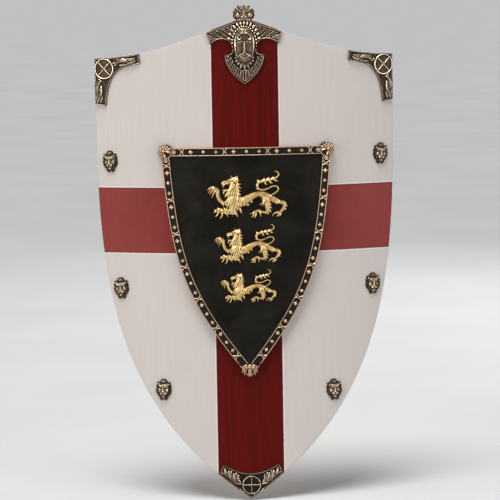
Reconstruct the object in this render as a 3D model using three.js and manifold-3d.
// A curved wooden display shield with cast fittings, leather straps and a hanging ring.
// Heights run up from the board's point. "Level" is the height above the board's front face,
// and u runs across the face along its curve, so each form is drawn flat and then bent.

import * as THREE from 'three';
import { mergeVertices } from 'three/addons/utils/BufferGeometryUtils.js';
import Module from 'manifold-3d';

const wasm = await Module();
wasm.setup();

// Board, in millimetres
const BOARD_HEIGHT = 697.5;
const BOARD_FLAT_WIDTH = 447.2;
const BOARD_THICK = 9;
const BEND_RADIUS = 480;
const SHOULDER_DROP = 54.7;
const TOP_SWEEP = 141.4;
const SIDE_HANDLE = 250;
const POINT_HANDLE = 292;
const POINT_HALF_ANGLE = THREE.MathUtils.degToRad(55.7);
const WALL_LAND_DEPTH = 1.6;

// Common fits
const SEAT_GAP = 0.3;
const HOLE_CLEARANCE = 0.3;
const HOLE_END_GAP = 0.5;
const OVERRUN = 4;
const ROOT_DEPTH = 1;
const JOIN_TOLERANCE = 0.001;
const CUTTER_REACH = 90;
const CUTTER_ROWS = 9;
const POST_RADIUS = 1.5;
const POST_LENGTH = 6;
const POST_SIDES = 6;
const FACET_ARC = 22.4;
const CURVE_STEPS = 6;
const SIDE_STEPS = 11;

// Crest plate
const CREST_WIDTH = 108;
const CREST_DROP = 95;
const CREST_INSET = 1.3;
const CREST_THICK = 2.4;
const CREST_RIM_WIDTH = 1.6;
const CREST_RIM_HEIGHT = 0.8;

// Mask on the crest plate
const MASK_WIDTH = 30;
const MASK_HEIGHT = 58;
const MASK_DEPTH = 9;
const MASK_DROP = 41;
const MASK_BEAD_RADIUS = 2.3;
const MASK_BEAD_COUNT = 8;

// Finial over the peak
const FINIAL_WIDTH = 31.2;
const FINIAL_HEIGHT = 22;
const FINIAL_OVERLAP = 4;
const FINIAL_FRONT = 9.5;
const FINIAL_BACK = 1.5;
const FINIAL_PIN_RADIUS = 2;
const FINIAL_PIN_LENGTH = 14;

// Corner plates
const CORNER_INSET = 1;
const CORNER_ARM_ACROSS = 67.9;
const CORNER_ARM_DOWN = 66.6;
const CORNER_ARM_WIDTH = 13;
const CORNER_SIDE_WIDTH = 16.4;
const CORNER_END_SLANT = 3.6;
const CORNER_THICK = 2.2;
const CORNER_RIM_WIDTH = 1.4;
const CORNER_RIM_HEIGHT = 0.7;
const ROUNDEL_RADIUS = 15;
const ROUNDEL_RIM = 1.6;
const ROUNDEL_RIM_HEIGHT = 1.7;

// Point plate
const POINT_PLATE_RISE = 50.9;
const POINT_PLATE_HALF = 39.9;
const POINT_PLATE_OUT = 45.3;
const POINT_PLATE_END = 38.7;
const POINT_PLATE_DIP = 13.6;
const POINT_PLATE_INSET = 1.2;
const POINT_PLATE_THICK = 2.2;
const POINT_ROUNDEL_RADIUS = 13.6;
const POINT_ROUNDEL_RISE = 20.5;

// Lion-head studs
const STUD_HEIGHT = 31.5;
const STUD_BASE = 2;
const STUD_DEPTH = 9;
const STUD_SHANK_RADIUS = 2.5;
const STUD_SHANK_LENGTH = 7;

// Small shield on the front
const PANEL_DROP = 191.2;
const PANEL_TOP_HALF = 115.7;
const PANEL_LENGTH = 318.8;
const PANEL_SIDE_HANDLE = 166;
const PANEL_POINT_HANDLE = 141;
const PANEL_SIDE_LEAN = THREE.MathUtils.degToRad(4.3);
const PANEL_POINT_HALF_ANGLE = THREE.MathUtils.degToRad(37.8);
const CORE_THICK = 5;
const LEATHER_THICK = 1.2;
const FRAME_WIDTH = 11.6;
const FRAME_LIP = 5;
const FRAME_HEIGHT = 9.4;
const FRAME_GROUND_DEPTH = 1.1;
const FRAME_RIM_WIDTH = 1.5;
const FRAME_CORNER_REACH = 9;
const FRAME_TIP_REACH = 11.5;
const SIDE_LEAD = 19.6;
const SIDE_BAY = 49.6;
const SIDE_BAYS = 6;
const TOP_BAY = 61;
const TOP_BAYS = 3;
const ORNAMENT_HEIGHT = 0.9;
const BOSS_RADIUS = 2.6;
const STAR_RADIUS = 3;
const CORNER_HEAD_RADIUS = 8.6;
const CORNER_HEAD_DEPTH = 4.6;
const TIP_HEAD_WIDTH = 23.4;
const TIP_HEAD_HEIGHT = 18.5;
const TIP_HEAD_DEPTH = 4;

// Lions
const LION_LENGTHS = { upper: 113.8, middle: 94.5, lower: 79.7 };
const LION_TOP_GAP = 22.8;
const LION_GAP = 8.6;
const LION_EDGE = 1.2;
const LION_CROWN_SHARE = 0.55;
const LION_POST_BITE = 3.4;
const LION_POST_RADIUS = 1.5;

// Leather straps on the back
const STRAP_DROP = 274.5;
const STRAP_OFFSET = 70;
const STRAP_SPAN = 150;
const STRAP_FOOT = 26;
const STRAP_CLEAR = 36;
const STRAP_THICK = 3.5;
const STRAP_WIDTHS = { arm_strap: 44, hand_grip: 30 };

// Fasteners
const SCREW_RADIUS = 2;
const SCREW_HEAD_RADIUS = 4.2;
const SCREW_HEAD_HEIGHT = 2.2;
const SCREW_SLOT_WIDTH = 1.1;
const SCREW_SLOT_DEPTH = 1;
const SCREW_SIDES = 8;
const STRAP_SCREW_BITE = 6;
const WASHER_RADIUS = 7;
const WASHER_THICK = 1.2;
const PANEL_SCREW_BITE = 4;
const PANEL_SCREW_ACROSS = 30;
const PANEL_SCREW_DROPS = [21.3, 244.3];

// Hanging ring and its plate
const HOOK_DROP = 48;
const RING_WIRE = 3;
const RING_INNER_HALF = 10;
const RING_INNER_REACH = 14;
const RING_BEND = 2.2;
const RING_RUNNING_GAP = 0.1;
const HANGER_LEAF_THICK = 1.2;
const HANGER_LEAF_WIDTH = 18;
const HANGER_LEAF_LENGTH = 48;
const HANGER_SCREW_DROPS = [25, 40];
const HANGER_SCREW_BITE = 6;
const RING_SIDES = 10;
const EYE_STEPS = 16;

// Materials
const finishes = {
  board: { color: 0xd2cac2, roughness: 0.45, metalness: 0 },
  bronze: { color: 0x8f7b58, roughness: 0.38, metalness: 0.9 },
  gilt: { color: 0xdcb878, roughness: 0.34, metalness: 0.9 },
  leather: { color: 0x23211f, roughness: 0.55, metalness: 0 },
  core: { color: 0xa9855a, roughness: 0.7, metalness: 0 },
  strap: { color: 0x5b3b26, roughness: 0.6, metalness: 0 },
  steel: { color: 0xb9bcc0, roughness: 0.35, metalness: 1 },
};

const halfWidth = BOARD_FLAT_WIDTH / 2;
const shoulderRise = BOARD_HEIGHT - SHOULDER_DROP;
const backRadius = BEND_RADIUS - BOARD_THICK;
const panelTop = BOARD_HEIGHT - PANEL_DROP;
const panelPoint = panelTop - PANEL_LENGTH;
const strapRise = BOARD_HEIGHT - STRAP_DROP;
const p2 = (u, z) => new THREE.Vector2(u, z);

// Solids and meshes
function solid(geometry) {
  geometry.deleteAttribute('normal');
  geometry.deleteAttribute('uv');
  const merged = mergeVertices(geometry);
  const vertProperties = new Float32Array(merged.attributes.position.array);
  const triVerts = new Uint32Array(merged.index.array);
  return new wasm.Manifold(new wasm.Mesh({ numProp: 3, vertProperties, triVerts }));
}

function geometryOf(body) {
  const mesh = body.asOriginal().getMesh();
  const geometry = new THREE.BufferGeometry();
  geometry.setAttribute('position', new THREE.BufferAttribute(new Float32Array(mesh.vertProperties), 3));
  geometry.setIndex(new THREE.BufferAttribute(new Uint32Array(mesh.triVerts), 1));
  geometry.computeVertexNormals();
  return geometry;
}

const joined = (bodies) => bodies.reduce((sum, body) => sum.add(body));

// A flat drawing bent round the board's upright axis: x is u, y is minus the level
function wrap(geometry) {
  const place = geometry.attributes.position;
  for (let i = 0; i < place.count; i++) {
    const angle = place.getX(i) / BEND_RADIUS;
    const radius = BEND_RADIUS - place.getY(i);
    const depth = BEND_RADIUS - radius * Math.cos(angle);
    place.setXYZ(i, radius * Math.sin(angle), depth, place.getZ(i));
  }
  return geometry;
}

// Walls square to the face, in rows, reaching far past it both ways
function cutter(outline, holes = []) {
  const shape = new THREE.Shape(outline);
  shape.holes = holes.map((hole) => new THREE.Path(hole));
  const depth = 2 * CUTTER_REACH;
  const geometry = new THREE.ExtrudeGeometry(shape, { depth, steps: CUTTER_ROWS, bevelEnabled: false });
  geometry.rotateX(Math.PI / 2);
  geometry.translate(0, CUTTER_REACH, 0);
  return solid(wrap(geometry));
}

// A bent sheet between two levels, in facets shared by every piece
function shell(outline, low, high) {
  const box = new THREE.Box2().setFromPoints(outline);
  const first = Math.floor((box.min.x - FACET_ARC) / FACET_ARC);
  const last = Math.ceil((box.max.x + FACET_ARC) / FACET_ARC);
  const width = (last - first) * FACET_ARC;
  const height = box.max.y - box.min.y + 2 * OVERRUN;
  const geometry = new THREE.BoxGeometry(width, high - low, height, last - first, 1, 1);
  geometry.translate(first * FACET_ARC + width / 2, -(low + high) / 2, (box.min.y + box.max.y) / 2);
  return solid(wrap(geometry));
}

const plate = (outline, low, high, holes) => cutter(outline, holes).intersect(shell(outline, low, high));

// A round post or hole square to the face
function post(place, radius, low, high, sides = POST_SIDES) {
  const geometry = new THREE.CylinderGeometry(radius, radius, high - low, sides);
  geometry.translate(place.x, -(low + high) / 2, place.y);
  return solid(wrap(geometry));
}

// A rounded lump: radii across and up, and its height over the level it stands on
function dome(place, across, up, low, base, height, sides = 10, rings = 3) {
  const profile = [p2(0, low - base), p2(1, low - base), p2(1, 0)];
  for (let i = 1; i < rings; i++) {
    const angle = (i / rings) * (Math.PI / 2);
    profile.push(p2(Math.cos(angle), height * Math.sin(angle)));
  }
  profile.push(p2(0, height));
  const geometry = new THREE.LatheGeometry(profile, sides);
  geometry.scale(across, 1, up);
  geometry.rotateX(Math.PI);
  geometry.translate(place.x, -base, place.y);
  return solid(wrap(geometry));
}

function ringRim(place, radius, width, low, high, sides = 16) {
  const inner = radius - width;
  const profile = [p2(inner, low), p2(radius, low), p2(radius, high), p2(inner, high), p2(inner, low)];
  const geometry = new THREE.LatheGeometry(profile, sides);
  geometry.rotateX(Math.PI);
  geometry.translate(place.x, 0, place.y);
  return solid(wrap(geometry));
}

// A tapering raised stroke along a smooth line of [u, z, half width]; its edge is a level, or
// a function of the place where it lies on a rounded form
function stroke(line, low, edge, crown, steps) {
  const curve = new THREE.CatmullRomCurve3(line.map((p) => new THREE.Vector3(...p)));
  const points = [];
  for (let k = 0; k <= steps; k++) {
    const at = curve.getPoint(k / steps);
    const along = curve.getTangent(k / steps);
    const ahead = p2(along.x, along.y).normalize();
    const half = at.z;
    const top = (typeof edge === 'function' ? edge(at.x, at.y) : edge) + crown * half;
    for (const [side, level] of [[-half, low], [half, low], [0, top]]) {
      points.push(at.x - ahead.y * side, -level, at.y + ahead.x * side);
    }
  }
  const corners = [0, 1, 2];
  const sides = corners.length;
  const index = corners.toReversed();
  for (let k = 0; k < steps; k++) {
    for (const i of corners) {
      const a = k * sides + i;
      const b = k * sides + corners.at(i + 1 - sides);
      index.push(a, b, b + sides, a, b + sides, a + sides);
    }
  }
  index.push(...corners.map((i) => steps * sides + i));
  const geometry = new THREE.BufferGeometry();
  geometry.setAttribute('position', new THREE.Float32BufferAttribute(points, 3));
  geometry.setIndex(index);
  return solid(wrap(geometry));
}

// Outlines
function offsetOutline(outline, outward) {
  const ring = THREE.ShapeUtils.isClockWise(outline) ? [...outline].reverse() : outline;
  return ring.map((point, i) => {
    const before = point.clone().sub(ring.at(i - 1)).normalize();
    const after = ring[(i + 1) % ring.length].clone().sub(point).normalize();
    const normal = p2(before.y + after.y, -before.x - after.x).normalize();
    const lean = normal.dot(p2(before.y, -before.x));
    return point.clone().addScaledVector(normal, outward / lean);
  });
}

function mirrored(half) {
  const inner = half.filter((point) => point.x > 0);
  const others = inner.reverse().map((point) => p2(-point.x, point.y));
  return [...half, ...others];
}

const sweepInner = halfWidth - TOP_SWEEP;
const sweepTurn = halfWidth - TOP_SWEEP / 2;
const topSlope = SHOULDER_DROP / sweepTurn;
const boardTop = (u) => BOARD_HEIGHT - topSlope * Math.abs(u);

function boardHalf() {
  const path = new THREE.Path();
  path.moveTo(0, BOARD_HEIGHT);
  path.lineTo(sweepInner, boardTop(sweepInner));
  path.quadraticCurveTo(sweepTurn, shoulderRise, halfWidth, shoulderRise);
  const handle = p2(POINT_HANDLE * Math.sin(POINT_HALF_ANGLE), POINT_HANDLE * Math.cos(POINT_HALF_ANGLE));
  path.bezierCurveTo(halfWidth, shoulderRise - SIDE_HANDLE, handle.x, handle.y, 0, 0);
  return path;
}

// Points along a path; steps are given for its curved parts only
function sampled(path, steps) {
  const points = [];
  const counts = [...steps];
  for (const curve of path.curves) {
    const count = curve.isLineCurve ? 1 : counts.shift();
    for (let k = 0; k < count; k++) {
      points.push(curve.getPoint(k / count));
    }
  }
  points.push(path.curves.at(-1).getPoint(1));
  return points.filter((point, i) => !i || point.distanceTo(points[i - 1]) > JOIN_TOLERANCE);
}

const boardOutline = mirrored(sampled(boardHalf(), [CURVE_STEPS, SIDE_STEPS]));

function panelHalf() {
  const path = new THREE.Path();
  const lean = p2(Math.sin(PANEL_SIDE_LEAN), Math.cos(PANEL_SIDE_LEAN)).multiplyScalar(PANEL_SIDE_HANDLE);
  const rise = p2(Math.sin(PANEL_POINT_HALF_ANGLE), Math.cos(PANEL_POINT_HALF_ANGLE));
  rise.multiplyScalar(PANEL_POINT_HANDLE);
  path.moveTo(0, panelTop);
  path.lineTo(PANEL_TOP_HALF, panelTop);
  path.bezierCurveTo(
    PANEL_TOP_HALF - lean.x, panelTop - lean.y, rise.x, panelPoint + rise.y, 0, panelPoint,
  );
  return path;
}

const bandCentre = mirrored(sampled(panelHalf(), [SIDE_STEPS]).slice(1));
const bandOuter = offsetOutline(bandCentre, FRAME_WIDTH / 2);
const bandInner = offsetOutline(bandCentre, -FRAME_WIDTH / 2);
const panelOutline = offsetOutline(bandInner, FRAME_LIP - SEAT_GAP);

// Levels of the small shield's layers
const coreTop = SEAT_GAP + CORE_THICK;
const leatherLow = coreTop + SEAT_GAP;
const leatherTop = leatherLow + LEATHER_THICK;
const lipLow = leatherTop + SEAT_GAP;
const groundLevel = FRAME_HEIGHT - FRAME_GROUND_DEPTH;
const lionSeat = leatherTop + SEAT_GAP;

const boardHoles = [];
const coreHoles = [];
const leatherHoles = [];

function boardPost(place, top) {
  const low = -POST_LENGTH;
  boardHoles.push(post(place, POST_RADIUS + HOLE_CLEARANCE, low - HOLE_END_GAP, OVERRUN));
  return post(place, POST_RADIUS, low, top);
}

// Crest plate: across as a share of half its width, down as a share of its drop
const CREST_CURVE_SHARES = [
  [[0.95, 0.28], [0.92, 0.35], [0.90, 0.4]],
  [[0.81, 0.35], [0.7, 0.318], [0.593, 0.318]],
  [[0.41, 0.318], [0.309, 0.39], [0.309, 0.479]],
  [[0.309, 0.53], [0.39, 0.556], [0.528, 0.558]],
  [[0.51, 0.7], [0.35, 0.88], [0, 1]],
];
const CREST_RAY_SHARES = [
  [[0.32, 0.22, 0.03], [0.4, 0.15, 0.045]],
  [[0.38, 0.27, 0.035], [0.6, 0.19, 0.055]],
  [[0.42, 0.3, 0.035], [0.8, 0.245, 0.055]],
  [[0.62, 0.29, 0.02], [0.9, 0.325, 0.05]],
  [[0.33, 0.6, 0.03], [0.47, 0.6, 0.045]],
  [[0.3, 0.7, 0.035], [0.4, 0.74, 0.05]],
  [[0.22, 0.82, 0.03], [0.27, 0.86, 0.045]],
];
const CREST_POST_SHARES = [[0.66, 0.24], [0.25, 0.66]];
// Mask strokes: across and up as shares of half the mask's width and height
const MASK_STROKE_SHARES = [
  [[0.95, 0.06, 0.05], [0.5, 0.2, 0.09], [0.06, 0.08, 0.05]],
  [[0.06, -0.32, 0.08], [0.4, -0.36, 0.09], [0.8, -0.6, 0.03]],
  [[0.12, -0.8, 0.1], [0.18, -1.1, 0.09], [0.1, -1.4, 0.03]],
  [[0.4, -0.74, 0.1], [0.55, -0.98, 0.09], [0.45, -1.25, 0.03]],
  [[0.7, -0.6, 0.1], [0.9, -0.8, 0.09], [0.8, -1.02, 0.03]],
  [[0.5, 0.34, 0.1], [0.85, 0.5, 0.1], [0.75, 0.78, 0.04]],
];
const MASK_NOSE_SHARES = [[0, 0.1, 0.05], [0, -0.08, 0.08], [0, -0.25, 0.14]];
const STROKE_EDGE = 0.5;
const STROKE_CROWN_SHARE = 0.55;

function crestOutline() {
  const half = CREST_WIDTH / 2;
  const at = ([across, down]) => [half * across, BOARD_HEIGHT - CREST_DROP * down];
  const path = new THREE.Path();
  path.moveTo(0, BOARD_HEIGHT - CREST_INSET);
  path.lineTo(half, boardTop(half) - CREST_INSET);
  for (const points of CREST_CURVE_SHARES) {
    path.bezierCurveTo(...points.flatMap(at));
  }
  return mirrored(sampled(path, [1, 4, 3, 2, 4]));
}

function crestPlate() {
  const outline = crestOutline();
  const half = CREST_WIDTH / 2;
  const top = SEAT_GAP + CREST_THICK;
  const high = top + CREST_RIM_HEIGHT;
  const field = plate(offsetOutline(outline, -CREST_RIM_WIDTH), top, high + OVERRUN);
  const forms = [plate(outline, SEAT_GAP, high).subtract(field)];
  for (const side of [-1, 1]) {
    for (const ray of CREST_RAY_SHARES) {
      const line = ray.map(([u, v, w]) => [side * half * u, BOARD_HEIGHT - CREST_DROP * v, half * w]);
      forms.push(stroke(line, top - ROOT_DEPTH, top + STROKE_EDGE, STROKE_CROWN_SHARE, 1));
    }
    for (const [u, v] of CREST_POST_SHARES) {
      forms.push(boardPost(p2(side * half * u, BOARD_HEIGHT - CREST_DROP * v), top));
    }
  }
  forms.push(...maskForms(top));
  return joined(forms);
}

// A calm bearded mask, drawn from the usual proportions of a head
function maskForms(seat) {
  const centre = p2(0, BOARD_HEIGHT - MASK_DROP);
  const across = MASK_WIDTH / 2;
  const up = MASK_HEIGHT / 2;
  const surface = (u, z) => {
    const away = (u / across) ** 2 + ((z - centre.y) / up) ** 2;
    return seat + MASK_DEPTH * Math.sqrt(Math.max(0, 1 - away));
  };
  const forms = [dome(centre, across, up, seat - ROOT_DEPTH, seat, MASK_DEPTH, 12, 3)];
  const place = (line, side) => line.map(([u, v, w]) => [side * across * u, centre.y + up * v, across * w]);
  const lift = (u, z) => surface(u, z) + STROKE_EDGE;
  for (const side of [-1, 1]) {
    for (const line of MASK_STROKE_SHARES) {
      forms.push(stroke(place(line, side), seat - ROOT_DEPTH, lift, 1, 2));
    }
  }
  forms.push(stroke(place(MASK_NOSE_SHARES, 1), seat, lift, 1, 3));
  for (let i = 0; i < MASK_BEAD_COUNT; i++) {
    const angle = (i / (MASK_BEAD_COUNT - 1)) * Math.PI;
    const bead = p2((across + MASK_BEAD_RADIUS) * Math.cos(angle), centre.y + up * Math.sin(angle));
    const size = MASK_BEAD_RADIUS;
    forms.push(dome(bead, size, size, seat - ROOT_DEPTH, seat, size, 6, 1));
  }
  return forms;
}

// Finial: a lion's head in the round over the peak, with a pin down into the board's edge
const FINIAL_HALF_SHARES = [
  [0, 1], [0.12, 0.97], [0.24, 0.86], [0.42, 0.95], [0.58, 0.93], [0.62, 0.8], [0.8, 0.78], [0.86, 0.64],
  [1, 0.58], [0.93, 0.42], [1, 0.28], [0.86, 0.12], [0.62, 0],
];
const FINIAL_DOME_SHARES = [
  [0, 0.48, 0.7, 0.4, 0.67], [0.5, 0.5, 0.28, 0.2, 0.77], [0, 0.3, 0.32, 0.24, 0.9],
  [0, 0.42, 0.16, 0.12, 1],
];

function uprightPin(radius, top, length) {
  const geometry = new THREE.CylinderGeometry(radius, radius, length, POST_SIDES);
  geometry.rotateX(Math.PI / 2);
  geometry.translate(0, BOARD_THICK / 2, top - length / 2);
  return solid(geometry);
}

function finial() {
  const half = FINIAL_WIDTH / 2;
  const foot = BOARD_HEIGHT - FINIAL_OVERLAP;
  const crestTop = SEAT_GAP + CREST_THICK + CREST_RIM_HEIGHT + SEAT_GAP;
  const side = FINIAL_HALF_SHARES.map(([u, v]) => p2(half * u, foot + FINIAL_HEIGHT * v));
  const outline = mirrored([...side, p2(0, foot)]);
  const back = -BOARD_THICK - FINIAL_BACK;
  const face = FINIAL_FRONT / 2;
  const forms = [plate(outline, back, face)];
  for (const [u, v, across, up, depth] of FINIAL_DOME_SHARES) {
    for (const hand of u ? [-1, 1] : [1]) {
      const place = p2(hand * half * u, foot + FINIAL_HEIGHT * v);
      const height = (FINIAL_FRONT - face) * depth;
      forms.push(dome(place, half * across, FINIAL_HEIGHT * up, 0, face, height, 10, 2));
    }
  }
  const saddle = offsetOutline(boardOutline, SEAT_GAP);
  const seat = plate(saddle, back - OVERRUN, crestTop);
  const pinTop = BOARD_HEIGHT + OVERRUN;
  const hole = uprightPin(FINIAL_PIN_RADIUS + HOLE_CLEARANCE, pinTop, FINIAL_PIN_LENGTH + HOLE_END_GAP);
  boardHoles.push(hole);
  return joined(forms).subtract(seat).add(uprightPin(FINIAL_PIN_RADIUS, pinTop, FINIAL_PIN_LENGTH));
}

// Corner plates, drawn for the right-hand corner; shares are of the arms' lengths from the corner
const CORNER_CURVE_SHARES = [[0.31, 0.39], [0.49, 0.17]];
const CORNER_LEAF_SHARES = [
  [[0.52, 0.16, 0.02], [0.7, 0.1, 0.045], [0.9, 0.12, 0.02]],
  [[0.5, 0.07, 0.025], [0.66, 0.03, 0.035], [0.86, 0.05, 0.02]],
];
const CORNER_POST_SHARES = [0.68, 0.09];

function rectangle(left, low, right, high) {
  return [p2(left, low), p2(right, low), p2(right, high), p2(left, high)];
}

// A plate's region cut to the board's edge, with a raised rim all round
function edgePlate(region, inset, thick, rimWidth, rimHeight) {
  const top = SEAT_GAP + thick;
  const high = top + rimHeight;
  const edge = cutter(offsetOutline(boardOutline, -inset));
  const inner = cutter(offsetOutline(boardOutline, -inset - rimWidth));
  const field = plate(offsetOutline(region, -rimWidth), top, high + OVERRUN).intersect(inner);
  return plate(region, SEAT_GAP, high).intersect(edge).subtract(field);
}

function cornerPlate(side) {
  const corner = p2(halfWidth, shoulderRise);
  const outer = p2(corner.x + OVERRUN, corner.y - CORNER_ARM_DOWN);
  const sideEnd = p2(corner.x - CORNER_INSET - CORNER_SIDE_WIDTH, outer.y - CORNER_END_SLANT);
  const armEnd = p2(corner.x - CORNER_ARM_ACROSS, boardTop(sweepInner));
  const armLow = p2(armEnd.x - CORNER_END_SLANT, corner.y + CORNER_END_SLANT - CORNER_ARM_WIDTH);
  const bend = CORNER_CURVE_SHARES.map(([u, v]) => {
    return p2(corner.x - CORNER_ARM_ACROSS * u, corner.y - CORNER_ARM_DOWN * v);
  });
  const path = new THREE.Path();
  path.moveTo(outer.x, armEnd.y);
  path.lineTo(armEnd.x, armEnd.y);
  path.lineTo(armLow.x, armLow.y);
  path.bezierCurveTo(bend[1].x, bend[1].y, bend[0].x, bend[0].y, sideEnd.x, sideEnd.y);
  path.lineTo(outer.x, outer.y);
  const region = sampled(path, [8]);
  const place = (points) => points.map((point) => p2(side * point.x, point.y));
  const turned = side > 0 ? region : place(region).reverse();
  const top = SEAT_GAP + CORNER_THICK;
  const forms = [edgePlate(turned, CORNER_INSET, CORNER_THICK, CORNER_RIM_WIDTH, CORNER_RIM_HEIGHT)];
  const middle = ROUNDEL_RADIUS + CORNER_INSET;
  const roundel = p2(side * (corner.x - middle), corner.y - middle);
  forms.push(ringRim(roundel, ROUNDEL_RADIUS, ROUNDEL_RIM, top - ROOT_DEPTH, top + ROUNDEL_RIM_HEIGHT));
  const reach = (ROUNDEL_RADIUS - ROUNDEL_RIM) * Math.SQRT1_2;
  for (const turn of [-1, 1]) {
    const bar = [-1, 1].map((end) => {
      return [roundel.x + end * reach, roundel.y + end * turn * reach, ROUNDEL_RIM / 2];
    });
    forms.push(stroke(bar, top - ROOT_DEPTH, top + ROUNDEL_RIM_HEIGHT / 2, STROKE_CROWN_SHARE, 1));
  }
  for (const leaf of CORNER_LEAF_SHARES) {
    const wide = CORNER_ARM_ACROSS;
    const arm = leaf.map(([a, b, w]) => [side * (corner.x - wide * a), corner.y - wide * b, wide * w]);
    const drop = leaf.map(([a, b, w]) => [side * (corner.x - wide * b), corner.y - wide * a, wide * w]);
    for (const line of [arm, drop]) {
      forms.push(stroke(line, top - ROOT_DEPTH, top + STROKE_EDGE, STROKE_CROWN_SHARE, 2));
    }
  }
  const [along, off] = CORNER_POST_SHARES.map((share) => share * CORNER_ARM_ACROSS);
  forms.push(boardPost(p2(side * (corner.x - along), corner.y - off), top));
  forms.push(boardPost(p2(side * (corner.x - off), corner.y - along), top));
  return joined(forms);
}

// Point plate; blocks are placed by shares of its half width and rise
const POINT_BLOCK_SHARES = [
  [[0.44, 0.57, 0.07], [0.58, 0.63, 0.07]],
  [[0.7, 0.68, 0.07], [0.83, 0.73, 0.07]],
];
const POINT_POST_SHARES = [0.64, 0.65];

function pointPlate() {
  const end = p2(POINT_PLATE_HALF, POINT_PLATE_RISE);
  const control = end.y - 2 * POINT_PLATE_DIP;
  const drop = 2 * (POINT_PLATE_RISE - POINT_PLATE_END);
  const spread = 2 * (POINT_PLATE_OUT - POINT_PLATE_HALF);
  const path = new THREE.Path();
  path.moveTo(-end.x - spread, -OVERRUN);
  path.lineTo(end.x + spread, -OVERRUN);
  path.lineTo(end.x + spread, end.y - drop);
  path.lineTo(end.x, end.y);
  path.quadraticCurveTo(0, control, -end.x, end.y);
  path.lineTo(-end.x - spread, end.y - drop);
  const region = sampled(path, [10]);
  const top = SEAT_GAP + POINT_PLATE_THICK;
  const bare = edgePlate(region, POINT_PLATE_INSET, POINT_PLATE_THICK, CORNER_RIM_WIDTH, CORNER_RIM_HEIGHT);
  const centre = p2(0, POINT_ROUNDEL_RISE);
  const low = top - ROOT_DEPTH;
  const forms = [bare, ringRim(centre, POINT_ROUNDEL_RADIUS, ROUNDEL_RIM, low, top + ROUNDEL_RIM_HEIGHT)];
  const reach = POINT_ROUNDEL_RADIUS - ROUNDEL_RIM / 2;
  for (const [u, z] of [[reach, 0], [0, reach]]) {
    const bar = [-1, 1].map((way) => [centre.x + way * u, centre.y + way * z, ROUNDEL_RIM / 2]);
    forms.push(stroke(bar, top - ROOT_DEPTH, top + ROUNDEL_RIM_HEIGHT / 2, STROKE_CROWN_SHARE, 1));
  }
  for (const side of [-1, 1]) {
    for (const block of POINT_BLOCK_SHARES) {
      const line = block.map(([u, v, w]) => [side * end.x * u, end.y * v, end.y * w]);
      forms.push(stroke(line, top - ROOT_DEPTH, top + STROKE_EDGE, STROKE_CROWN_SHARE, 1));
    }
    forms.push(boardPost(p2(side * end.x * POINT_POST_SHARES[0], end.y * POINT_POST_SHARES[1]), top));
  }
  return joined(forms);
}

// Lion-head studs: outline and forms as shares of the stud's height, from its middle
const STUD_HALF_SHARES = [
  [0, 0.5], [0.1, 0.49], [0.18, 0.37], [0.33, 0.34], [0.29, 0.26], [0.37, 0.16], [0.33, 0.08],
  [0.37, -0.02], [0.35, -0.13], [0.27, -0.26], [0.19, -0.33], [0.18, -0.42], [0.1, -0.5], [0, -0.42],
];
const STUD_DOME_SHARES = [
  [0, 0.04, 0.27, 0.36, 0.7], [0, -0.12, 0.15, 0.16, 1], [0, 0.3, 0.12, 0.14, 0.6],
];
const STUD_BROW_SHARES = [[0.03, 0.1, 0.04], [0.2, 0.15, 0.04]];
const STUD_BROW_DEPTH_SHARE = 0.65;
// Places as shares of the board's half width and height, with a small turn in degrees
const STUD_PLACE_SHARES = {
  stud_upper_left: [-0.9016, 0.706, 2],
  stud_upper_right: [0.9025, 0.7131, -3],
  stud_middle_left: [-0.842, 0.4416, 3],
  stud_middle_right: [0.836, 0.4416, 0],
  stud_lower_left: [-0.5646, 0.23, -2],
  stud_lower_right: [0.555, 0.2234, 4],
};

function stud([acrossShare, riseShare, degrees]) {
  const centre = p2(halfWidth * acrossShare, BOARD_HEIGHT * riseShare);
  const turn = THREE.MathUtils.degToRad(degrees);
  const at = ([u, v]) => p2(u, v).multiplyScalar(STUD_HEIGHT).rotateAround(p2(0, 0), turn).add(centre);
  const low = SEAT_GAP;
  const top = low + STUD_BASE;
  const half = STUD_HALF_SHARES.map((point) => p2(...point));
  const forms = [plate(mirrored(half).map((point) => at(point.toArray())), low, top)];
  for (const [u, v, across, up, depth] of STUD_DOME_SHARES) {
    for (const side of u ? [-1, 1] : [1]) {
      const size = p2(across, up).multiplyScalar(STUD_HEIGHT);
      const height = STUD_DEPTH * depth - STUD_BASE;
      forms.push(dome(at([side * u, v]), size.x, size.y, top - ROOT_DEPTH, top, height, 8, 2));
    }
  }
  for (const side of [-1, 1]) {
    const line = STUD_BROW_SHARES.map(([u, v, w]) => [...at([side * u, v]).toArray(), STUD_HEIGHT * w]);
    forms.push(stroke(line, top, low + STUD_DEPTH * STUD_BROW_DEPTH_SHARE, STROKE_CROWN_SHARE, 1));
  }
  const tip = -STUD_SHANK_LENGTH;
  boardHoles.push(post(centre, STUD_SHANK_RADIUS + HOLE_CLEARANCE, tip - HOLE_END_GAP, OVERRUN));
  forms.push(post(centre, STUD_SHANK_RADIUS, tip, top));
  return joined(forms);
}

// Small shield: core, leather and the ornamented frame
const BAY_SHARES = { star: 0.2, boss: 0.5, diamond: 0.79 };
const LEAD_SHARES = { side: 0.62, top: 0.7 };
const SEPARATOR_SHARES = [[0.3, -0.4, 0.05], [0.08, 0, 0.06], [0.3, 0.4, 0.05]];
const ornamentRoot = groundLevel - ROOT_DEPTH;
const ornamentTop = groundLevel + ORNAMENT_HEIGHT;

// Forms at one place on the band, given the way the band runs there
function separator(at, along) {
  const wide = FRAME_WIDTH - FRAME_RIM_WIDTH;
  return [-1, 1].map((way) => {
    const line = SEPARATOR_SHARES.map(([s, t, w]) => {
      const point = at.clone().addScaledVector(along, way * s * wide);
      point.addScaledVector(p2(-along.y, along.x), t * wide);
      return [point.x, point.y, w * wide];
    });
    return stroke(line, ornamentRoot, ornamentTop, 0, 2);
  });
}

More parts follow.
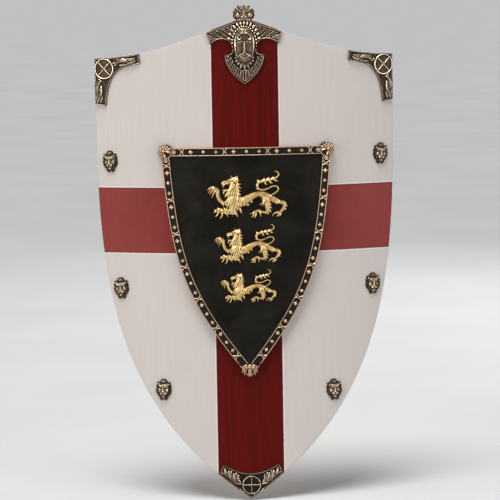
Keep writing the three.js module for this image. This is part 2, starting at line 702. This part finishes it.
const boss = (at) => dome(at, BOSS_RADIUS, BOSS_RADIUS, ornamentRoot, groundLevel, ORNAMENT_HEIGHT, 6, 1);
const star = (at) => dome(at, STAR_RADIUS, STAR_RADIUS, ornamentRoot, groundLevel, ORNAMENT_HEIGHT, 4, 1);

function bandOrnaments() {
  const forms = [];
  const side = panelHalf().curves[1];
  const length = side.getLength();
  for (const hand of [-1, 1]) {
    const at = (distance) => side.getPointAt(distance / length).multiply(p2(hand, 1));
    const along = (distance) => side.getTangentAt(distance / length).multiply(p2(hand, 1));
    forms.push(boss(at(SIDE_LEAD * LEAD_SHARES.side)));
    for (let bay = 0; bay <= SIDE_BAYS; bay++) {
      const start = SIDE_LEAD + bay * SIDE_BAY;
      forms.push(...separator(at(start), along(start)));
      if (bay < SIDE_BAYS) {
        forms.push(star(at(start + SIDE_BAY * BAY_SHARES.star)));
        forms.push(boss(at(start + SIDE_BAY * BAY_SHARES.boss)));
        forms.push(star(at(start + SIDE_BAY * BAY_SHARES.diamond)));
      }
    }
    forms.push(boss(p2(hand * (PANEL_TOP_HALF - SIDE_LEAD * LEAD_SHARES.top), panelTop)));
  }
  for (let bay = 0; bay <= TOP_BAYS; bay++) {
    const start = (bay - TOP_BAYS / 2) * TOP_BAY;
    forms.push(...separator(p2(start, panelTop), p2(1, 0)));
    if (bay < TOP_BAYS) {
      forms.push(star(p2(start + TOP_BAY * BAY_SHARES.star, panelTop)));
      forms.push(boss(p2(start + TOP_BAY * BAY_SHARES.boss, panelTop)));
      forms.push(star(p2(start + TOP_BAY * BAY_SHARES.diamond, panelTop)));
    }
  }
  return forms;
}

function band() {
  const groove = plate(
    offsetOutline(bandOuter, -FRAME_RIM_WIDTH), groundLevel, FRAME_HEIGHT + OVERRUN,
    [offsetOutline(bandInner, FRAME_RIM_WIDTH)],
  );
  const pocket = plate(offsetOutline(bandInner, FRAME_LIP), -OVERRUN, lipLow);
  const bare = plate(bandOuter, SEAT_GAP, FRAME_HEIGHT, [bandInner]).subtract(joined([groove, pocket]));
  return joined([bare, ...bandOrnaments()]);
}

const frame = band();
const frameZone = (outline) => frame.intersect(cutter(outline));
const legCentre = (FRAME_WIDTH - FRAME_LIP) / 2;
const legOutward = FRAME_WIDTH / 2 - legCentre;
const BAR_POST_SHARES = [0.12, 0.45, 0.85];

function topBar() {
  const reach = PANEL_TOP_HALF - FRAME_CORNER_REACH - SEAT_GAP;
  const forms = [frameZone(rectangle(-reach, panelTop - FRAME_WIDTH, reach, panelTop + FRAME_WIDTH))];
  for (const way of [-1, 0, 1]) {
    forms.push(boardPost(p2(way * TOP_BAY, panelTop + legOutward), groundLevel));
  }
  return joined(forms);
}

function sideBar(hand) {
  const high = panelTop - FRAME_CORNER_REACH - SEAT_GAP;
  const low = panelPoint + FRAME_TIP_REACH + SEAT_GAP;
  const far = PANEL_TOP_HALF + FRAME_WIDTH;
  const zone = hand > 0 ? rectangle(0, low, far, high) : rectangle(-far, low, 0, high);
  const forms = [frameZone(zone)];
  const side = panelHalf().curves[1];
  for (const share of BAR_POST_SHARES) {
    const along = side.getTangentAt(share);
    const place = side.getPointAt(share).addScaledVector(p2(-along.y, along.x), legOutward);
    forms.push(boardPost(p2(hand * place.x, place.y), groundLevel));
  }
  return joined(forms);
}

// Corner piece: a ribbed lion's head looking out along the diagonal
const HEAD_RIB_SHARES = [[0.2, 0.06], [0.65, 0.15], [1.05, 0.1]];
const HEAD_RIB_ANGLES = [-55, 0, 55];

function frameCorner(hand) {
  const centre = p2(hand * PANEL_TOP_HALF, panelTop);
  const near = PANEL_TOP_HALF - FRAME_CORNER_REACH;
  const far = PANEL_TOP_HALF + FRAME_WIDTH;
  const low = panelTop - FRAME_CORNER_REACH;
  const high = panelTop + FRAME_WIDTH;
  const zone = hand > 0 ? rectangle(near, low, far, high) : rectangle(-far, low, -near, high);
  const radius = CORNER_HEAD_RADIUS;
  const surface = (u, z) => {
    const away = ((u - centre.x) ** 2 + (z - centre.y) ** 2) / radius ** 2;
    return groundLevel + CORNER_HEAD_DEPTH * Math.sqrt(Math.max(0, 1 - away));
  };
  const lift = (u, z) => surface(u, z) + STROKE_EDGE;
  const forms = [frameZone(zone)];
  forms.push(dome(centre, radius, radius, lipLow, groundLevel, CORNER_HEAD_DEPTH, 12, 3));
  for (const degrees of HEAD_RIB_ANGLES) {
    const angle = THREE.MathUtils.degToRad(45 + degrees);
    const ahead = p2(hand * Math.cos(angle), Math.sin(angle));
    const line = HEAD_RIB_SHARES.map(([reach, w]) => {
      const point = centre.clone().addScaledVector(ahead, radius * reach);
      return [point.x, point.y, radius * w];
    });
    forms.push(stroke(line, lipLow, lift, STROKE_CROWN_SHARE, 2));
  }
  forms.push(boardPost(p2(centre.x + hand * legOutward, centre.y + legOutward), groundLevel));
  return joined(forms);
}

// Tip piece: three lobes above and three points below, as shares of its half width and height
const TIP_HALF_SHARES = [
  [0, 1], [0.2, 0.94], [0.3, 0.8], [0.45, 0.88], [0.72, 0.9], [0.95, 0.78], [1, 0.6], [0.84, 0.5],
  [0.8, 0.25], [0.5, 0.36], [0.3, 0.12], [0.14, 0], [0, 0.1],
];
const TIP_DOME_SHARES = [[0, 0.6, 0.42, 0.3, 1], [0.62, 0.68, 0.3, 0.2, 0.7], [0, 0.25, 0.2, 0.2, 0.6]];

function frameTip() {
  const half = TIP_HEAD_WIDTH / 2;
  const foot = panelPoint + FRAME_TIP_REACH - SEAT_GAP - TIP_HEAD_HEIGHT;
  const at = ([u, v]) => p2(half * u, foot + TIP_HEAD_HEIGHT * v);
  const far = PANEL_TOP_HALF;
  const zone = rectangle(-far, panelPoint - far, far, panelPoint + FRAME_TIP_REACH);
  const forms = [frameZone(zone)];
  const face = groundLevel + TIP_HEAD_DEPTH / 2;
  forms.push(plate(mirrored(TIP_HALF_SHARES.map(at)), lipLow, face));
  for (const [u, v, across, up, depth] of TIP_DOME_SHARES) {
    for (const side of u ? [-1, 1] : [1]) {
      const place = at([side * u, v]);
      const size = p2(half * across, TIP_HEAD_HEIGHT * up);
      forms.push(dome(place, size.x, size.y, ornamentRoot, face, TIP_HEAD_DEPTH * depth / 2, 10, 2));
    }
  }
  forms.push(boardPost(p2(0, panelPoint - legOutward / Math.sin(PANEL_POINT_HALF_ANGLE)), groundLevel));
  return joined(forms);
}

// A lion walking to the left with one paw raised. Strokes are shares of its length: across from the
// raised claws, up from the lowest claw, and half width.
const LION_MIDDLE_SHARES = [0.5, 0.3];
const LION_LIMB_SHARES = [
  [[0.34, 0.215, 0.085], [0.437, 0.222, 0.062], [0.527, 0.266, 0.05], [0.66, 0.314, 0.035],
    [0.74, 0.285, 0.05], [0.81, 0.245, 0.045], [0.88, 0.21, 0.035]],
  [[0.355, 0.47, 0.06], [0.36, 0.4, 0.08], [0.355, 0.32, 0.082], [0.335, 0.24, 0.085],
    [0.335, 0.16, 0.065], [0.345, 0.09, 0.045]],
  [[0.385, 0.5, 0.045], [0.31, 0.482, 0.04], [0.25, 0.466, 0.027], [0.212, 0.442, 0.016],
    [0.215, 0.398, 0.008]],
  [[0.31, 0.44, 0.028], [0.3, 0.392, 0.022], [0.266, 0.36, 0.018], [0.212, 0.366, 0.01]],
  [[0.09, 0.4, 0.022], [0.132, 0.364, 0.03], [0.14, 0.294, 0.028], [0.172, 0.229, 0.032],
    [0.235, 0.205, 0.036], [0.3, 0.235, 0.05]],
  [[0.345, 0.16, 0.055], [0.31, 0.1, 0.045], [0.235, 0.095, 0.035], [0.155, 0.107, 0.032],
    [0.105, 0.112, 0.02]],
  [[0.7, 0.29, 0.05], [0.742, 0.215, 0.047], [0.757, 0.15, 0.042], [0.752, 0.095, 0.028],
    [0.7, 0.08, 0.016], [0.642, 0.102, 0.02], [0.588, 0.08, 0.018]],
  [[0.84, 0.24, 0.042], [0.905, 0.208, 0.032], [0.965, 0.185, 0.032], [0.962, 0.135, 0.026],
    [0.92, 0.085, 0.022], [0.888, 0.07, 0.016]],
  [[0.789, 0.294, 0.014], [0.85, 0.319, 0.01], [0.893, 0.364, 0.01], [0.871, 0.405, 0.01],
    [0.822, 0.405, 0.01], [0.75, 0.374, 0.01], [0.662, 0.37, 0.013], [0.63, 0.409, 0.018],
    [0.646, 0.454, 0.022], [0.73, 0.482, 0.025], [0.834, 0.5, 0.018], [0.881, 0.525, 0.012],
    [0.899, 0.556, 0.01], [0.881, 0.587, 0.008], [0.848, 0.597, 0.003]],
];
const LION_CLAW_SHARES = [
  [[0.095, 0.405, 0.016], [0.04, 0.398, 0.012], [0.01, 0.36, 0.004]],
  [[0.095, 0.39, 0.016], [0.05, 0.372, 0.012], [0.022, 0.337, 0.004]],
  [[0.105, 0.375, 0.016], [0.065, 0.352, 0.012], [0.041, 0.316, 0.004]],
  [[0.115, 0.365, 0.016], [0.086, 0.327, 0.012], [0.068, 0.272, 0.004]],
  [[0.36, 0.48, 0.02], [0.385, 0.515, 0.025], [0.396, 0.538, 0.008]],
  [[0.895, 0.08, 0.014], [0.84, 0.062, 0.01], [0.812, 0.028, 0.004]],
];
const LION_TUFT_SHARES = [
  [[0.325, 0.5, 0.016], [0.298, 0.548, 0.004]], [[0.31, 0.35, 0.03], [0.225, 0.27, 0.006]],
  [[0.18, 0.22, 0.022], [0.208, 0.147, 0.004]], [[0.235, 0.2, 0.024], [0.253, 0.135, 0.005]],
  [[0.14, 0.1, 0.018], [0.1, 0.04, 0.004]], [[0.19, 0.088, 0.018], [0.158, 0.004, 0.004]],
  [[0.225, 0.08, 0.016], [0.265, 0.025, 0.004]], [[0.28, 0.08, 0.018], [0.321, 0.03, 0.004]],
  [[0.34, 0.08, 0.02], [0.383, 0.022, 0.005]], [[0.375, 0.15, 0.026], [0.433, 0.066, 0.005]],
  [[0.59, 0.09, 0.014], [0.534, 0.061, 0.004]], [[0.6, 0.075, 0.015], [0.566, 0.013, 0.004]],
  [[0.645, 0.095, 0.014], [0.667, 0.024, 0.005]], [[0.755, 0.08, 0.014], [0.74, 0.047, 0.004]],
  [[0.765, 0.2, 0.02], [0.808, 0.145, 0.004]], [[0.772, 0.12, 0.02], [0.806, 0.08, 0.004]],
  [[0.72, 0.25, 0.025], [0.655, 0.17, 0.004]], [[0.91, 0.07, 0.015], [0.878, 0.02, 0.004]],
  [[0.97, 0.15, 0.016], [0.996, 0.11, 0.004]], [[0.44, 0.19, 0.03], [0.425, 0.15, 0.006]],
  [[0.5, 0.21, 0.03], [0.52, 0.165, 0.006]], [[0.645, 0.45, 0.018], [0.63, 0.495, 0.004]],
  [[0.7, 0.475, 0.018], [0.724, 0.515, 0.004]], [[0.775, 0.485, 0.018], [0.806, 0.527, 0.004]],
  [[0.745, 0.47, 0.018], [0.782, 0.438, 0.004]], [[0.82, 0.485, 0.016], [0.872, 0.466, 0.004]],
  [[0.655, 0.37, 0.012], [0.608, 0.374, 0.003]], [[0.385, 0.44, 0.022], [0.434, 0.415, 0.004]],
  [[0.39, 0.38, 0.022], [0.437, 0.355, 0.004]], [[0.395, 0.33, 0.022], [0.44, 0.302, 0.004]],
];
const LION_POST_SHARES = [[0.35, 0.25], [0.72, 0.28]];

// Centre heights of the lions, stacked down from the frame
function lionCentres() {
  const centres = {};
  let top = panelTop - FRAME_WIDTH / 2 - LION_TOP_GAP;
  for (const [name, length] of Object.entries(LION_LENGTHS)) {
    const halfHeight = length * LION_MIDDLE_SHARES[1];
    centres[name] = top - halfHeight;
    top = centres[name] - halfHeight - LION_GAP;
  }
  return centres;
}

function lion(name, centre) {
  const length = LION_LENGTHS[name];
  const [middleAcross, middleUp] = LION_MIDDLE_SHARES;
  const at = ([u, v]) => [(u - middleAcross) * length, centre + (v - middleUp) * length];
  const low = lionSeat - ROOT_DEPTH;
  const edge = lionSeat + LION_EDGE;
  const forms = [];
  for (const shares of [...LION_LIMB_SHARES, ...LION_CLAW_SHARES, ...LION_TUFT_SHARES]) {
    const line = shares.map((point) => [...at(point), point[2] * length]);
    forms.push(stroke(line, low, edge, LION_CROWN_SHARE, shares.length - 1));
  }
  const reach = length / 2 + OVERRUN;
  const box = rectangle(-reach, centre - reach, reach, centre + reach);
  const body = joined(forms).intersect(shell(box, lionSeat, lionSeat + length / 2));
  const posts = LION_POST_SHARES.map((share) => {
    const place = p2(...at(share));
    const tip = coreTop - LION_POST_BITE;
    coreHoles.push(post(place, LION_POST_RADIUS + HOLE_CLEARANCE, tip - HOLE_END_GAP, lionSeat));
    leatherHoles.push(post(place, LION_POST_RADIUS + HOLE_CLEARANCE, leatherLow - OVERRUN, lionSeat));
    return post(place, LION_POST_RADIUS, tip, edge);
  });
  return joined([body, ...posts]);
}

// Strips bent from sheet or leather: an outline of depth against height, drawn across the board
function ribbon(line, thick) {
  const normals = line.map((point, i) => {
    const back = line[Math.max(0, i - 1)];
    const ahead = line[Math.min(line.length - 1, i + 1)];
    const along = ahead.clone().sub(back).normalize();
    return p2(-along.y, along.x);
  });
  const left = line.map((point, i) => point.clone().addScaledVector(normals[i], thick / 2));
  const right = line.map((point, i) => point.clone().addScaledVector(normals[i], -thick / 2));
  return [...right, ...left.reverse()];
}

// Outline points are minus the height and the depth
function acrossBoard(outline, left, width, steps) {
  const settings = { depth: width, steps, bevelEnabled: false };
  const geometry = new THREE.ExtrudeGeometry(new THREE.Shape(outline), settings);
  geometry.rotateY(Math.PI / 2);
  geometry.translate(left, 0, 0);
  return geometry;
}

// A slotted round-head screw driven in from the back; under is the level its head sits on
const SCREW_CROWN_SHARES = [0.6, 0.4];

function screw(place, under, tip) {
  const crown = under - SCREW_HEAD_HEIGHT;
  const profile = [
    p2(0, crown),
    p2(SCREW_HEAD_RADIUS * SCREW_CROWN_SHARES[0], crown),
    p2(SCREW_HEAD_RADIUS, under - SCREW_HEAD_HEIGHT * SCREW_CROWN_SHARES[1]),
    p2(SCREW_HEAD_RADIUS, under),
    p2(SCREW_RADIUS, under),
    p2(SCREW_RADIUS, tip - SCREW_RADIUS),
    p2(0, tip),
  ];
  const geometry = new THREE.LatheGeometry(profile, SCREW_SIDES);
  geometry.rotateX(Math.PI);
  geometry.translate(place.x, 0, place.y);
  const deep = SCREW_SLOT_DEPTH + OVERRUN;
  const slot = new THREE.BoxGeometry(2 * SCREW_HEAD_RADIUS + OVERRUN, deep, SCREW_SLOT_WIDTH);
  slot.translate(place.x, deep / 2 - crown - SCREW_SLOT_DEPTH, place.y);
  return solid(wrap(geometry)).subtract(solid(wrap(slot)));
}

const screwHole = (place, low, high) => post(place, SCREW_RADIUS + HOLE_CLEARANCE, low, high, SCREW_SIDES);

function boardScrew(place, under, bite) {
  const tip = bite - BOARD_THICK;
  boardHoles.push(screwHole(place, -BOARD_THICK - OVERRUN, tip + HOLE_END_GAP));
  return screw(place, under, tip);
}

const bodies = {};
const boardBack = BOARD_THICK + SEAT_GAP;

// Screws through the board that hold the small shield's core from behind
function panelScrews() {
  let count = 0;
  for (const drop of PANEL_SCREW_DROPS) {
    for (const hand of [-1, 1]) {
      const place = p2(hand * PANEL_SCREW_ACROSS, panelTop - drop);
      const tip = SEAT_GAP + PANEL_SCREW_BITE;
      boardHoles.push(screwHole(place, -BOARD_THICK - OVERRUN, OVERRUN));
      coreHoles.push(screwHole(place, -OVERRUN, tip + HOLE_END_GAP));
      count += 1;
      bodies[`escutcheon_screw_${count}`] = [screw(place, -boardBack, tip), finishes.steel];
    }
  }
}

// Straps: an arched strip with two flat feet, a washer and a screw through each foot
const STRAP_BEND_SHARES = [0.35, 0.75];
const STRAP_CORNER_SHARE = 0.3;

function strapBody(centre, width, holes) {
  const base = boardBack + STRAP_THICK / 2;
  const end = STRAP_SPAN / 2;
  const foot = end - STRAP_FOOT;
  const path = new THREE.Path();
  path.moveTo(-end, base);
  path.lineTo(-foot, base);
  const [ease, rise] = STRAP_BEND_SHARES.map((share) => foot * share);
  path.bezierCurveTo(-foot + ease, base, -rise, base + STRAP_CLEAR, 0, base + STRAP_CLEAR);
  path.bezierCurveTo(rise, base + STRAP_CLEAR, foot - ease, base, foot, base);
  path.lineTo(end, base);
  const line = sampled(path, [9, 9]).map((point) => p2(point.x - strapRise, point.y));
  const geometry = acrossBoard(ribbon(line, STRAP_THICK), centre - width / 2, width, 2);
  const corner = width * STRAP_CORNER_SHARE;
  const plan = new THREE.Path();
  plan.moveTo(centre - width / 2, strapRise);
  plan.lineTo(centre - width / 2, strapRise + end - corner);
  plan.quadraticCurveTo(centre - width / 2, strapRise + end, centre, strapRise + end);
  plan.quadraticCurveTo(centre + width / 2, strapRise + end, centre + width / 2, strapRise + end - corner);
  plan.lineTo(centre + width / 2, strapRise);
  const upper = sampled(plan, [4, 4]);
  const lower = upper.map((point) => p2(point.x, 2 * strapRise - point.y)).reverse();
  const outline = offsetOutline([...upper, ...lower.slice(1, -1)], SEAT_GAP);
  return solid(wrap(geometry)).intersect(cutter(outline)).subtract(joined(holes));
}

function straps() {
  let count = 0;
  for (const [name, side] of [['arm_strap', -1], ['hand_grip', 1]]) {
    const holes = [];
    const back = -boardBack - STRAP_THICK;
    for (const end of [1, -1]) {
      const place = p2(side * STRAP_OFFSET, strapRise + end * (STRAP_SPAN - STRAP_FOOT) / 2);
      const washerLow = back - SEAT_GAP - WASHER_THICK;
      const bore = WASHER_RADIUS - SCREW_RADIUS - HOLE_CLEARANCE;
      count += 1;
      holes.push(screwHole(place, back - OVERRUN, -BOARD_THICK));
      bodies[`strap_washer_${count}`] = [
        ringRim(place, WASHER_RADIUS, bore, washerLow, washerLow + WASHER_THICK), finishes.steel,
      ];
      const driven = boardScrew(place, washerLow - SEAT_GAP, STRAP_SCREW_BITE);
      bodies[`strap_screw_${count}`] = [driven, finishes.steel];
    }
    bodies[name] = [strapBody(side * STRAP_OFFSET, STRAP_WIDTHS[name], holes), finishes.strap];
  }
}

// Hanger: a leaf rolled into an eye, and a bent wire ring whose straight side turns in the eye
const pivotRise = BOARD_HEIGHT - HOOK_DROP - RING_INNER_REACH;
const boreRadius = RING_WIRE / 2 + RING_RUNNING_GAP;
const pivotDepth = boardBack + HANGER_LEAF_THICK + boreRadius;
const EYE_END_ANGLE = THREE.MathUtils.degToRad(110);

function hanger() {
  const line = [p2(HANGER_LEAF_LENGTH - pivotRise, boardBack + HANGER_LEAF_THICK / 2)];
  const rolled = boreRadius + HANGER_LEAF_THICK / 2;
  for (let i = 0; i <= EYE_STEPS; i++) {
    const angle = Math.PI - (i / EYE_STEPS) * (Math.PI + EYE_END_ANGLE);
    line.push(p2(-pivotRise - rolled * Math.sin(angle), pivotDepth + rolled * Math.cos(angle)));
  }
  const half = HANGER_LEAF_WIDTH / 2;
  const leaf = solid(acrossBoard(ribbon(line, HANGER_LEAF_THICK), -half, HANGER_LEAF_WIDTH, 1));
  const places = HANGER_SCREW_DROPS.map((drop) => p2(0, pivotRise - drop));
  const under = -boardBack - HANGER_LEAF_THICK;
  const holes = places.map((place) => screwHole(place, under - OVERRUN, -BOARD_THICK));
  bodies.hanger_plate = [leaf.subtract(joined(holes)), finishes.steel];
  places.forEach((place, i) => {
    const driven = boardScrew(place, under - SEAT_GAP, HANGER_SCREW_BITE);
    bodies[`hanger_screw_${i + 1}`] = [driven, finishes.steel];
  });
}

function hangerRing() {
  const half = RING_INNER_HALF + RING_WIRE / 2;
  const reach = RING_INNER_REACH + RING_WIRE / 2;
  const path = new THREE.Path();
  path.moveTo(half, -RING_BEND);
  path.absarc(half - RING_BEND, -RING_BEND, RING_BEND, 0, Math.PI / 2);
  path.lineTo(RING_BEND - half, 0);
  path.absarc(RING_BEND - half, -RING_BEND, RING_BEND, Math.PI / 2, Math.PI);
  path.lineTo(-half, half - reach);
  path.absarc(0, half - reach, half, Math.PI, 2 * Math.PI);
  const outline = sampled(path, [3, 3, 12]);
  const loops = [];
  for (let i = 0; i < RING_SIDES; i++) {
    const angle = (i / RING_SIDES) * 2 * Math.PI;
    loops.push(offsetOutline(outline, (RING_WIRE / 2) * Math.cos(angle)));
  }
  const count = outline.length;
  const points = [];
  const index = [];
  loops.forEach((loop, i) => {
    const depth = pivotDepth + (RING_WIRE / 2) * Math.sin((i / RING_SIDES) * 2 * Math.PI);
    loop.forEach((point, k) => {
      const a = i * count + k;
      const b = i * count + ((k + 1) % count);
      const c = ((i + 1) % RING_SIDES) * count + ((k + 1) % count);
      const d = ((i + 1) % RING_SIDES) * count + k;
      points.push(point.x, depth, pivotRise + point.y);
      index.push(a, c, b, a, d, c);
    });
  });
  const geometry = new THREE.BufferGeometry();
  geometry.setAttribute('position', new THREE.Float32BufferAttribute(points, 3));
  geometry.setIndex(index);
  return solid(geometry);
}

// The board's rear side edges are sanded flat where the shield bears on a wall
function board() {
  const wallDepth = BEND_RADIUS - backRadius * Math.cos(halfWidth / BEND_RADIUS) - WALL_LAND_DEPTH;
  const beyond = new THREE.BoxGeometry(BOARD_FLAT_WIDTH, CUTTER_REACH, BOARD_HEIGHT + OVERRUN);
  beyond.translate(0, wallDepth + CUTTER_REACH / 2, BOARD_HEIGHT / 2);
  return plate(boardOutline, -BOARD_THICK, 0).subtract(joined([solid(beyond), ...boardHoles]));
}

bodies.crest_plate = [crestPlate(), finishes.bronze];
bodies.crest_lion = [finial(), finishes.gilt];
bodies.corner_plate_left = [cornerPlate(-1), finishes.bronze];
bodies.corner_plate_right = [cornerPlate(1), finishes.bronze];
bodies.point_plate = [pointPlate(), finishes.bronze];
for (const [name, place] of Object.entries(STUD_PLACE_SHARES)) {
  bodies[name] = [stud(place), finishes.bronze];
}
bodies.frame_top_bar = [topBar(), finishes.gilt];
bodies.frame_left_bar = [sideBar(-1), finishes.gilt];
bodies.frame_right_bar = [sideBar(1), finishes.gilt];
bodies.frame_corner_left = [frameCorner(-1), finishes.gilt];
bodies.frame_corner_right = [frameCorner(1), finishes.gilt];
bodies.frame_tip = [frameTip(), finishes.gilt];
for (const [name, centre] of Object.entries(lionCentres())) {
  bodies[`lion_${name}`] = [lion(name, centre), finishes.gilt];
}
panelScrews();
straps();
hanger();
bodies.hanger_ring = [hangerRing(), finishes.steel];
const corePlate = plate(panelOutline, SEAT_GAP, coreTop).subtract(joined(coreHoles));
const leatherPlate = plate(panelOutline, leatherLow, leatherTop).subtract(joined(leatherHoles));
bodies.escutcheon_core = [corePlate, finishes.core];
bodies.escutcheon_leather = [leatherPlate, finishes.leather];
bodies.board = [board(), finishes.board];

const shield = new THREE.Group();
shield.name = 'shield';
for (const [name, [body, finish]] of Object.entries(bodies)) {
  const geometry = geometryOf(body);
  geometry.translate(0, -pivotDepth, HOOK_DROP - BOARD_HEIGHT);
  const mesh = new THREE.Mesh(geometry, new THREE.MeshStandardMaterial({ name, ...finish }));
  mesh.name = name;
  shield.add(mesh);
}

export default shield;
